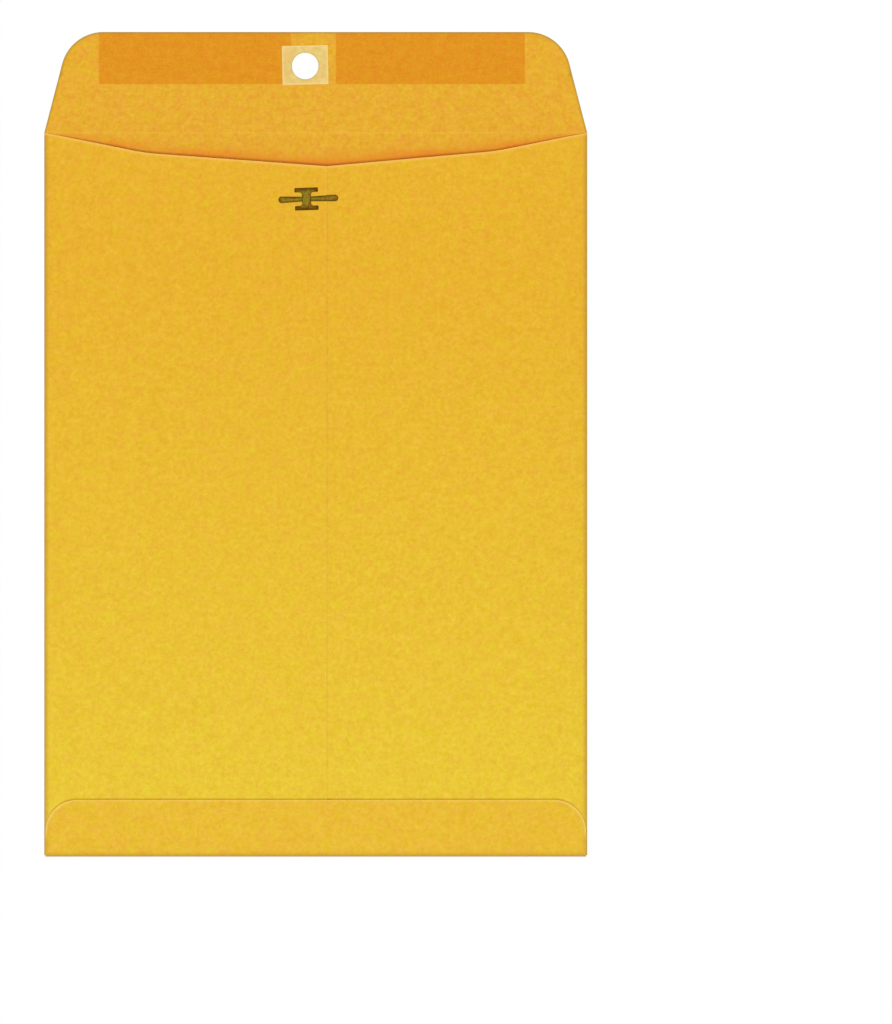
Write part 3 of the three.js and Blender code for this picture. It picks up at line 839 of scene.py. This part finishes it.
def add_hole(points, faces, loop):
    """Fills between a loop of points and the round hole with rings, finer towards the hole."""
    points = list(points)
    outer = [points[i] for i in loop]
    radius = HOLE_DIAMETER / 2
    rings = [loop]
    for share in RING_SHARES:
        ring = []
        for point in outer:
            angle = math.atan2(point[1] - hole.y, point[0] - hole.x)
            rim = (hole.x + radius * math.cos(angle), hole.y + radius * math.sin(angle), point[2])
            ring.append(len(points))
            points.append(point + (np.array(rim) - point) * share)
        rings.append(ring)
    for outer_ring, inner_ring in zip(rings, rings[1:]):
        for i in range(len(loop)):
            j = (i + 1) % len(loop)
            faces.append((outer_ring[i], outer_ring[j], inner_ring[j], inner_ring[i]))
    return np.array(points), faces


def back_rows():
    """Rows of a back panel below the throat's zone, closest along the bottom flap's top edge."""
    start, end, step = FLAP_EDGE_ZONE
    near_flap = np.arange(bottom_high.y + start, bottom_high.y + end, step)
    beside = np.linspace(front_bottom_y, near_flap[0], ROWS_BESIDE_FLAP)[:-1]
    above = np.linspace(near_flap[-1], crease_y - THROAT_ZONE, ROWS_ABOVE_FLAP)[1:]
    return np.concatenate([beside, near_flap, above])


def from_left(side, fold_part, ply_part):
    """Columns of a back panel, from left to right. The fold's part is given from its bottom up."""
    return np.concatenate([fold_part, ply_part] if side < 0 else [ply_part, fold_part[::-1]])


def build_back_panel(node, side, free_edge_x, under_z):
    """A back panel with its side fold. Its skin is the outer face."""
    fold_x = side * plate_half
    extra = side * corner_reach
    if side > 0:
        extra = np.concatenate([seam_x + UNDER_SEAM, extra])
    ply = with_extra(graded(*sorted((fold_x, free_edge_x)), COLUMN_STEP), extra)
    facing_up = from_left(side, np.sin(fold_angles), np.ones(len(ply)))
    x_row = from_left(side, fold_x + side * fold_radius * np.cos(fold_angles), ply)
    z_row = from_left(side, fold_radius + fold_radius * np.sin(fold_angles), np.full(len(ply), np.nan))

    body_rows = back_rows()
    edge = throat_y(side, x_row)
    zone_y = crease_y - THROAT_ZONE
    climbs = graded(0, THROAT_ZONE, COLUMN_STEP, fine_start=False)[1:]
    upper = [zone_y + (edge - zone_y) * (climb / THROAT_ZONE) for climb in climbs]
    y = np.concatenate([np.repeat(body_rows[:, None], len(x_row), 1), np.array(upper)])
    x = np.broadcast_to(x_row, y.shape)
    z = np.where(np.isnan(z_row), under_z(x, y) + PAPER, z_row)

    from_throat = edge - y
    gleam = SEAM_LIGHT + SEAM_GLEAM * near(from_throat, SEAM_GLEAM_LENGTH)
    seam_light = near(x - free_edge_x, SEAM_BAND) * gleam
    seam_shade = SEAM_SHADE * near(x - seam_x, TUCK_SHADOW_BAND) * (side * x > seam_x)
    from_bottom_flap = y - bottom_flap_edge_y(np.clip(x, -flap_half, flap_half))
    marks = {
        # Painted highlight along the throat's cut edge and the seam's edge
        "cut": np.maximum(near(from_throat, CUT_HIGHLIGHT_BAND) ** SOFT_FALL, seam_light),
        # Painted shade along the side fold
        "fold": near(half_width - np.abs(x), FOLD_SHADE_BAND) * (facing_up > -0.5),
        # Painted shadow under the bottom flap's edge and beside the seam
        "painted_tuck_shadow": np.maximum(near(from_bottom_flap, TUCK_SHADOW_BAND) * (facing_up > 0.5), seam_shade),
    }
    piece = new_sheet(node + "_sheet", x, y, z, marks, [KRAFT_OUTER, KRAFT_INNER, CUT_EDGE])
    thicken(piece, PAPER)
    cut_slits(piece)
    stand_for(piece, "kraft_paper", node)
    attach(piece, "envelope")


def cut_slits(panel):
    """Cuts the four slits that the clasp's legs go down through."""
    reach_x = METAL / 2 + SLIT_CLEARANCE
    reach_y = TOOTH_WIDTH / 2 + SLIT_CLEARANCE
    reach_z = inner_top_z / 2
    box = [(x * reach_x, y * reach_y, z * reach_z) for z in (-1, 1) for y in (-1, 1) for x in (-1, 1)]
    box_faces = [(0, 2, 3, 1), (4, 5, 7, 6), (0, 1, 5, 4), (1, 3, 7, 5), (3, 2, 6, 7), (2, 0, 4, 6)]
    leg_x = (BAR_LENGTH - METAL) / 2
    leg_y = (CLASP_HEIGHT - BAR_HEIGHT) / 2
    points, faces = [], []
    for x, y in ((-leg_x, -leg_y), (leg_x, -leg_y), (leg_x, leg_y), (-leg_x, leg_y)):
        faces += [tuple(i + len(points) for i in face) for face in box_faces]
        points += [(x + bx, y + by, bz) for bx, by, bz in box]
    cutter = new_piece("slit_cutter", placed(points, clasp_place), faces, {}, [])
    slits = panel.modifiers.new("slits", "BOOLEAN")
    slits.operation = "DIFFERENCE"
    slits.solver = "EXACT"
    slits.object = cutter
    apply_modifiers(panel)
    bpy.data.objects.remove(cutter)
    panel.data.set_sharp_from_angle(angle=SHEET_SHARP)


def build_bottom_flap():
    """The bottom flap with the bottom fold. Its skin is the outer face."""
    corners = np.concatenate([-corner_reach, corner_reach])
    x_row = with_extra(graded(-flap_half, flap_half, COLUMN_STEP), corners)
    climbs = graded(0, BOTTOM_FLAP_HEIGHT, BOTTOM_FLAP_ROW_STEP, fine_start=False)
    edge = bottom_flap_edge_y(x_row)
    reach = front_bottom_y - bottom_y
    top_z = back_top_z(x_row, np.full_like(x_row, front_bottom_y)) + film_space + PAPER
    fold_y = [np.full_like(x_row, front_bottom_y - reach * math.cos(a)) for a in fold_angles]
    fold_z = [top_z / 2 * (1 + math.sin(a)) for a in fold_angles]
    ply_y = [front_bottom_y + (edge - front_bottom_y) * (c / BOTTOM_FLAP_HEIGHT) for c in climbs]
    ply_z = [back_top_z(x_row, row) + film_space + PAPER for row in ply_y]
    y = np.array(fold_y + ply_y)
    z = np.array(fold_z + ply_z)
    x = np.broadcast_to(x_row, y.shape)

    from_side = flap_half - np.abs(x)
    straight = np.minimum(bottom_high.y - y, from_side)
    from_edge = from_rounded(x, y, shoulder_x, shoulder_y, BOTTOM_FLAP_CORNER, straight)
    turned = np.clip(2 * (np.abs(x) - shoulder_x) / BOTTOM_FLAP_CORNER, 0, 1)
    light = HEM_ON_STRAIGHT + (1 - HEM_ON_STRAIGHT) * turned
    marks = {
        # Painted highlight along the edge, stronger on the corners
        "painted_flap_edge_highlight": near(from_edge, HEM_HIGHLIGHT_BAND) * light * np.clip((y - shoulder_y) / HEM_FADE + 1, 0, 1),
        # Painted shade along the bottom fold and, half as much, the sides
        "fold": np.maximum(near(y - bottom_y, FOLD_SHADE_BAND), FLAP_SIDE_SHADE * near(from_side, FOLD_SHADE_BAND)),
    }
    piece = new_sheet("bottom_flap_sheet", x, y, z, marks, [KRAFT_FLAP, KRAFT_INNER, CUT_EDGE])
    thicken(piece, PAPER)
    stand_for(piece, "kraft_paper", "bottom_flap")
    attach(piece, "envelope")


def build_glue(node, under_z):
    """A dried film between two plies, over the stretch that its node covers."""
    low, high = box_mm(node)
    x_row = graded(low.x, high.x, COLUMN_STEP)
    y_row = graded(low.y, high.y, FRONT_ROW_STEP)
    x, y = np.meshgrid(x_row, y_row)
    clear = (film_space - GLUE_THICKNESS) / 2
    z = under_z(x, y) + clear + GLUE_THICKNESS
    piece = new_sheet(node + "_film", x, y, z, {}, [GLUE])
    thicken(piece, GLUE_THICKNESS)
    stand_for(piece, "dried_glue", node)
    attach(piece, "envelope")


def build_gum(node):
    """A gum strip with small rounded corners, and rows that close up towards the flap's top edge."""
    low, high = box_mm(node)
    x_row = graded(low.x, high.x, GUM_COLUMN_STEP)
    share = spaced(0, 1, GUM_ROW_SHARE)
    share = np.unique(np.concatenate([share, 1 - (1 - share) ** 3]))
    from_end = np.minimum(np.minimum(x_row - low.x, high.x - x_row), GUM_CORNER)
    drawn_in = GUM_CORNER - np.sqrt(GUM_CORNER**2 - (GUM_CORNER - from_end) ** 2)
    y = np.array([low.y + drawn_in + (high.y - low.y - 2 * drawn_in) * s for s in share])
    x = np.broadcast_to(x_row, y.shape)
    # Painted shade along the flap's top edge
    marks = {"rim": near(flap_top_y - y, RIM_SHADE_BAND)}
    piece = new_sheet(node + "_film", x, y, np.full_like(x, high.z), marks, [GUM])
    thicken(piece, high.z - low.z)
    stand_for(piece, "dry_gum", node)
    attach(piece, "flap")


def build_patch():
    """The square patch, turned a little about its middle, with rings of faces in to the hole."""
    reach_x = PATCH_WIDTH / 2
    reach_y = PATCH_HEIGHT / 2
    columns = np.linspace(-reach_x, reach_x, PATCH_COLUMNS)
    rows = np.linspace(-reach_y, reach_y, PATCH_ROWS)
    x, y = np.meshgrid(columns, rows)
    points = np.stack([x, y, np.zeros_like(x)], -1).reshape(-1, 3)
    loop = square_loop((0, len(rows) - 1), (0, len(columns) - 1), len(columns))
    rim = points[loop]
    inner = rim - np.clip(rim, -PATCH_RIM, PATCH_RIM)
    top = Matrix.Translation((patch_middle.x, patch_middle.y, patch_high.z))
    turned = top @ Matrix.Rotation(PATCH_TURN, 4, "Z")
    ring_points = placed([*rim, *inner], turned)
    count = len(loop)
    ring_points, faces = add_hole(ring_points, ring_faces(count, 2), list(range(count, 2 * count)))
    unturned = np.abs(placed(ring_points, turned.inverted()))
    from_sides = np.array([reach_x, reach_y]) - unturned[:, :2]
    corner_light = PATCH_CORNER_LIGHT * near(np.hypot(*from_sides.T), PATCH_CORNER)
    gum_end = box_mm("gum_strip_left")[1].x
    marks = {
        # Painted highlight along the outline and at the corners
        "cut": np.maximum(near(from_sides.min(1), PATCH_RIM), corner_light),
        "over_gum": np.clip((gum_end - ring_points[:, 0]) / GUM_BLUR + 0.5, 0, 1),
        # Painted shade round the hole
        "rim": near(from_hole(ring_points[:, 0], ring_points[:, 1]), PATCH_HOLE_BAND),
    }
    piece = new_piece("hole_patch_sheet", ring_points, faces, marks, [PATCH])
    thicken(piece, patch_high.z - patch_low.z)
    stand_for(piece, "patch_paper", "hole_patch")
    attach(piece, "flap")


# Clasp pieces, with X along the prongs. The base is made on Z = 0, and a prong about its hinge


def clasp_outline():
    """The I-shaped base, anticlockwise, with rounded inner corners: one half, then the same turned."""
    bar = BAR_LENGTH / 2
    top = CLASP_HEIGHT / 2
    neck = top - BAR_HEIGHT

    def fillet(y_sign, start, end):
        x = WEB_WIDTH / 2 + WEB_FILLET
        y = y_sign * (neck - WEB_FILLET)
        angles = np.linspace(math.radians(start), math.radians(end), FILLET_STEPS)
        return [(x + WEB_FILLET * math.cos(a), y + WEB_FILLET * math.sin(a)) for a in angles]

    half = [(-bar, -top), (bar, -top), (bar, -neck)]
    half += fillet(-1, 270, 180) + fillet(1, 180, 90)
    half += [(bar, neck)]
    return half + [(-x, -y) for x, y in half]


def inset_outline(outline, inset):
    """The outline moved inwards by the same distance everywhere."""
    points = np.array(outline)
    to_next = np.roll(points, -1, 0) - points
    to_next /= np.linalg.norm(to_next, axis=1)[:, None]
    outward = np.stack([to_next[:, 1], -to_next[:, 0]], -1)
    before = np.roll(outward, 1, 0)
    mitre = (outward + before) / (1 + np.sum(outward * before, 1))[:, None]
    return points - inset * mitre


def ring_faces(count, rings):
    faces = []
    for r in range(rings - 1):
        for i in range(count):
            j = (i + 1) % count
            faces.append((r * count + i, r * count + j, (r + 1) * count + j, (r + 1) * count + i))
    return faces


def base_plate():
    """The stamped plate, with a small round on its edges."""
    outline = clasp_outline()
    insets = (PLATE_ROUNDING, 0, 0, PLATE_ROUNDING, PLATE_DARK_BAND)
    heights = (0, PLATE_ROUNDING, METAL - PLATE_ROUNDING, METAL, METAL)
    count = len(outline)
    rings = [
        np.column_stack([inset_outline(outline, inset), np.full(count, z)])
        for inset, z in zip(insets, heights)
    ]
    points = np.concatenate(rings)
    faces = ring_faces(count, len(rings))
    faces.append(tuple(range(count))[::-1])
    faces.append(tuple(range(len(points) - count, len(points))))
    # How dark each point is: full along the edges, and painted shade over the bars, growing from the web
    # outwards
    cut = np.ones(len(points))
    from_web = np.abs(rings[-1][:, 0]) - WEB_WIDTH / 2
    cut[-count:] = PAINTED_BAR_SHADE * np.clip(from_web / BAR_SHADE_FADE, 0, 1)
    return points, faces, cut


def bent_strip(path, widths, thicknesses):
    """A metal strip that follows a path in the XZ plane."""
    path = np.array(path)
    along = np.gradient(path, axis=0)
    along /= np.linalg.norm(along, axis=1)[:, None]
    up = np.stack([-along[:, 1], along[:, 0]], -1)
    sections = []
    for at, normal, width, thickness in zip(path, up, widths, thicknesses):
        for y_sign, up_sign in ((-1, -1), (1, -1), (1, 1), (-1, 1)):
            x, z = at + normal * up_sign * thickness / 2
            sections.append((x, y_sign * width / 2, z))
    faces = [face[::-1] for face in ring_faces(4, len(path))]
    faces.append((0, 1, 2, 3))
    last = 4 * (len(path) - 1)
    faces.append((last + 3, last + 2, last + 1, last))
    return np.array(sections), faces, np.ones(len(sections))


def tooth(side, y):
    """A leg that goes down through both plies and is clinched inwards under them."""
    leg_x = (BAR_LENGTH - METAL) / 2
    inside_z = -(ply_step + PAPER + (film_space - GLUE_THICKNESS))
    bend_x = leg_x - TOOTH_BEND
    bend_z = inside_z - METAL / 2 + TOOTH_BEND
    path = [(leg_x, METAL / 2), (leg_x, inside_z / 2), (leg_x, bend_z)]
    for angle in np.linspace(0, math.pi / 2, TOOTH_BEND_STEPS + 1)[1:]:
        path.append((bend_x + TOOTH_BEND * math.cos(angle), bend_z - TOOTH_BEND * math.sin(angle)))
    widths = [TOOTH_WIDTH] * len(path)
    thicknesses = [METAL] * len(path)
    tip_x = BAR_LENGTH / 2 - TOOTH_LENGTH
    for share in TOOTH_SHARES:
        thickness = METAL + (TOOTH_POINT - METAL) * share
        path.append((bend_x + (tip_x - bend_x) * share, inside_z - thickness / 2))
        widths.append(TOOTH_WIDTH * (1 - TOOTH_TAPER * share))
        thicknesses.append(thickness)
    points, faces, cut = bent_strip(path, widths, thicknesses)
    if side < 0:
        points = points * [-1, -1, 1]
    return points + [0, y, 0], faces, cut


def metal_piece(name, parts, matrix, node, body):
    """One brass piece, from parts that are each made of points, faces and how dark each point is."""
    points, faces, cut = [], [], []
    for part_points, part_faces, part_cut in parts:
        faces += [tuple(i + len(points) for i in face) for face in part_faces]
        points += list(part_points)
        cut += list(part_cut)
    piece = new_piece(name, placed(points, matrix), faces, {"cut": cut}, [BRASS])
    piece.data.set_sharp_from_angle(angle=METAL_SHARP)
    stand_for(piece, "clasp_metal", node)
    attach(piece, body)


def build_clasp_base():
    bar_y = (CLASP_HEIGHT - BAR_HEIGHT) / 2
    teeth = [tooth(side, end * bar_y) for side in (-1, 1) for end in (-1, 1)]
    metal_piece("clasp_base_stamping", [base_plate()] + teeth, clasp_place, "clasp_base", "envelope")


def prong_body(length):
    """A prong along +X from its hinge, with a long pressed bead and a softly rounded rim."""
    root = PRONG_ROOT_WIDTH / 2
    tip = PRONG_TIP_WIDTH / 2
    start = length - tip
    straight = np.linspace(0, start, PRONG_STRAIGHT_STEPS + 1)[:-1]
    rounded = start + tip * np.sin(np.linspace(0, PRONG_TIP_END, PRONG_TIP_STEPS))
    u_row = np.concatenate([straight, rounded])
    past = np.maximum(0, u_row - start)
    flare = root + (tip - root) * np.clip(u_row / start, 0, 1)
    half = np.where(past > 0, np.sqrt(np.maximum(tip**2 - past**2, 0)), flare)
    v_row = np.concatenate([-PRONG_SHARES[::-1], [0], PRONG_SHARES])
    v, u = np.meshgrid(v_row, u_row, indexing="ij")
    y = v * half

    from_rim = np.where(u > start, tip - np.hypot(u - start, y), half - np.abs(y))
    past_bead = np.maximum(0, np.maximum(BEAD_START - u, u - (length - BEAD_END)))
    bead = np.clip((BEAD_HALF_WIDTH - np.hypot(past_bead, y)) / BEAD_FLANK, 0, 1)
    rim = near(from_rim, RIM_ROUNDING) ** 2 * (u > RIM_START)
    top = METAL / 2 - RIM_DROP * rim + BEAD_HEIGHT * bead**2 * (3 - 2 * bead)
    upper = np.stack([u, y, top], -1).reshape(-1, 3)
    lower = np.stack([u, y, -METAL / 2 + RIM_RISE * rim], -1).reshape(-1, 3)
    rows, columns = v.shape
    count = v.size
    faces = grid_faces(rows, columns)
    faces += [tuple(i + count for i in face[::-1]) for face in grid_faces(rows, columns)]
    loop = square_loop((0, rows - 1), (0, columns - 1), columns)
    for at, after in zip(loop, loop[1:] + loop[:1]):
        faces.append((at + count, after + count, after, at))
    cut = near(from_rim, PRONG_DARK_BAND).ravel()
    return np.concatenate([upper, lower]), faces, np.concatenate([cut, cut])


def rolled_root():
    """The small roll of metal on which a prong turns."""
    angles = np.linspace(0, 2 * math.pi, ROOT_SIDES + 1)[:-1]
    ends = [-PRONG_ROOT_WIDTH / 2, PRONG_ROOT_WIDTH / 2]
    radius = METAL / 2
    points = [(radius * math.sin(a), y, radius * math.cos(a)) for y in ends for a in angles]
    faces = [face[::-1] for face in ring_faces(ROOT_SIDES, 2)]
    faces.append(tuple(range(ROOT_SIDES)))
    faces.append(tuple(range(ROOT_SIDES, 2 * ROOT_SIDES))[::-1])
    return np.array(points), faces, np.full(len(points), ROOT_DARKNESS)


def build_prong(side):
    hinge_x = (hinges["right"] - hinges["left"]).length / 2
    turn = clasp_turn + (math.pi if side == "left" else 0)
    place = Matrix.Translation(hinges[side]) @ Matrix.Rotation(turn, 4, "Z")
    parts = [prong_body(PRONG_REACH[side] - hinge_x), rolled_root()]
    metal_piece(side + "_prong_pressed", parts, place, side + "_prong", side + "_prong")


# Studio


def white_for_the_camera(nodes, plain, bright):
    """A shader that is bright where it is seen, and plain where it only lights or catches light."""
    path = nodes.add("LightPath", {}).outputs
    seen = nodes.math("MAXIMUM", path["Is Camera Ray"], path["Is Glossy Ray"])
    seen = nodes.math("MAXIMUM", seen, path["Is Transmission Ray"])
    return nodes.add("MixShader", {0: seen, 1: plain, 2: bright}).outputs[0]


def build_world():
    world = bpy.data.worlds.new("studio")
    bpy.context.scene.world = world
    world.use_nodes = True
    nodes = Nodes(world.node_tree)
    plain = nodes.add("Background", {"Color": WHITE, "Strength": WORLD_LEVEL}).outputs[0]
    bright = nodes.add("Background", {"Color": WHITE, "Strength": 1}).outputs[0]
    shader = white_for_the_camera(nodes, plain, bright)
    nodes.put(nodes.tree.nodes["World Output"].inputs["Surface"], shader)


def build_floor():
    """A white floor. The camera sees most of it as pure white, and the rest as shadow falls on it."""
    nodes = Shader("white_floor")
    plain = nodes.add("BsdfDiffuse", {"Color": FLOOR_GREY}).outputs[0]
    shadow = nodes.add("BsdfDiffuse", {"Color": WHITE}).outputs[0]
    white = nodes.add("Emission", {"Strength": 1}).outputs[0]
    bright = nodes.add("MixShader", {0: FLOOR_WHITENESS, 1: shadow, 2: white}).outputs[0]
    shader = white_for_the_camera(nodes, plain, bright)
    nodes.put(nodes.tree.nodes["Material Output"].inputs["Surface"], shader)
    x, y = np.meshgrid((-FLOOR_HALF, FLOOR_HALF), (-FLOOR_HALF, FLOOR_HALF))
    floor = new_sheet("floor", x, y, np.full(x.shape, -FLOOR_DROP), {}, [nodes.material])


def build_key_light():
    """A soft lamp from the bottom end, which throws the throat's shadow into the pocket."""
    lamp = bpy.data.lights.new("key", "SUN")
    lamp.energy = KEY_LEVEL * math.pi / math.cos(KEY_TILT)
    lamp.angle = KEY_SOFTNESS
    new_object("key", lamp).rotation_euler = (KEY_TILT, 0, KEY_TURN)


def build_camera():
    """Straight down on the envelope, which lies left of and above the middle of the picture."""
    camera = bpy.data.cameras.new("camera")
    camera.lens = LENS
    camera.sensor_width = SENSOR
    frame_height = PHOTO_HEIGHT / PIXELS_PER_MM * MM
    middle = (cad_box[0] + cad_box[1]) / 2
    x = middle.x + (PHOTO_WIDTH / 2 - CENTRE_PIXEL[0]) / PIXELS_PER_MM * MM
    y = middle.y - (PHOTO_HEIGHT / 2 - CENTRE_PIXEL[1]) / PIXELS_PER_MM * MM
    holder = new_object("camera", camera)
    holder.location = (x, y, frame_height * LENS / SENSOR)
    bpy.context.scene.camera = holder


build_front_and_flap()
build_back_panel("left_back_panel", -1, seam_x, lambda x, y: back_top_z(x, y) - PAPER)
build_back_panel("right_back_panel", 1, hidden_seam_x, inner_ply_z)
build_glue("center_seam_glue", lambda x, y: inner_ply_z(x, y) + PAPER)
build_glue("bottom_flap_glue", back_top_z)
build_bottom_flap()
for gum_node in ("gum_strip_left", "gum_strip_right"):
    build_gum(gum_node)
build_patch()
build_clasp_base()
for prong_side in ("left", "right"):
    build_prong(prong_side)

build_world()
build_floor()
build_key_light()
build_camera()

bpy.context.scene.view_settings.view_transform = "Standard"
